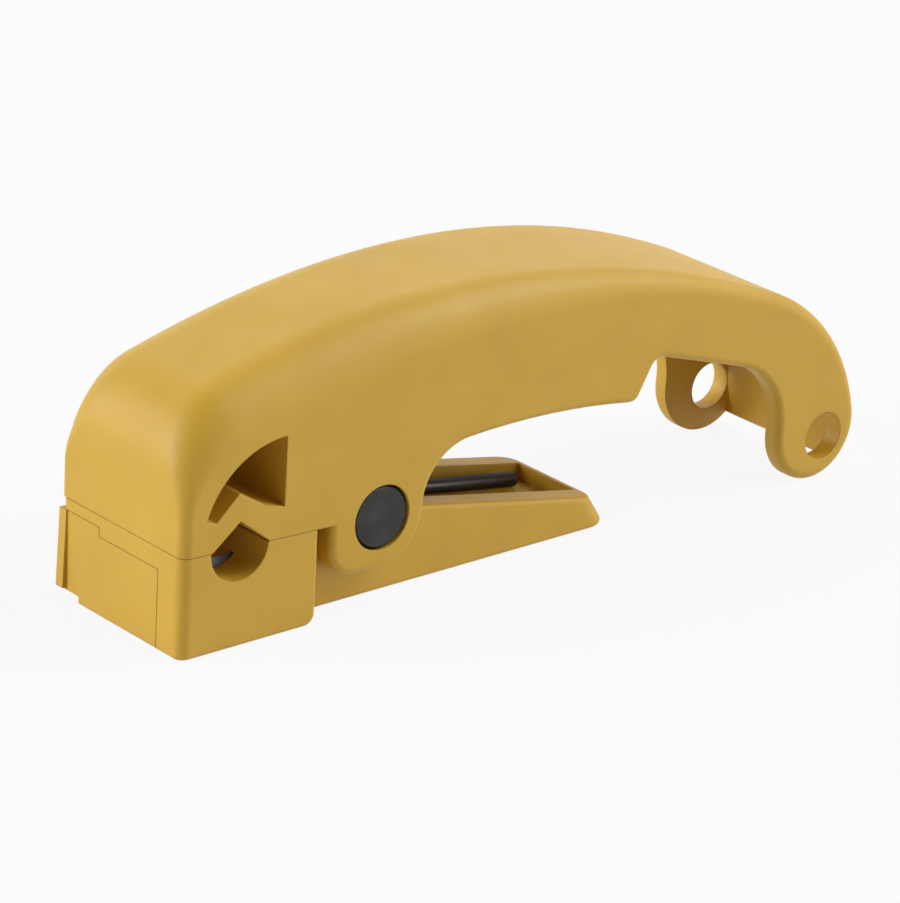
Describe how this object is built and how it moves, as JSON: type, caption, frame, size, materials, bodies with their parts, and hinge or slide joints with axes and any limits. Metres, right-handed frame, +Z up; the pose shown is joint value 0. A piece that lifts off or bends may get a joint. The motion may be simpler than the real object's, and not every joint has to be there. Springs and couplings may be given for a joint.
{
  "type": "cable jacket stripper",
  "caption": "Arched spring-clip cable jacket stripper: a sprung lower jaw with a round groove and a small blade closes on the cable, and its tail lever opens it.",
  "frame": {"origin": "on the table under the middle of the whole tool's box", "axes": "+X from the jaw end to the hook end, +Y to the side that the blade cover slides off, +Z up"},
  "size_m": [0.1068, 0.023, 0.0358],
  "materials": {
    "yellow_plastic": "satin moulded",
    "dark_steel": "dark oxide, satin",
    "spring_steel": "drawn wire",
    "blade_steel": "ground"
  },
  "bodies": {
    "handle": {"handle_body": "yellow_plastic", "pivot_pin": "dark_steel", "torsion_spring": "spring_steel"},
    "jaw": {"lower_jaw": "yellow_plastic", "cutting_blade": "blade_steel"},
    "cover": {"blade_cover": "yellow_plastic"}
  },
  "joints": [
    {"name": "jaw_hinge", "type": "hinge", "parent": "handle", "child": "jaw", "pos_m": [-0.02435, 0, 0.0111], "axis": [0, -1, 0], "range_deg": [0, 24], "stiffness_Nm_per_rad": 0.12, "springref_deg": -45.84, "deforming": ["torsion_spring"]},
    {"name": "cover_slide", "type": "slide", "parent": "jaw", "child": "cover", "axis": [0, 1, 0], "range_m": [0, 0.016]}
  ]
}
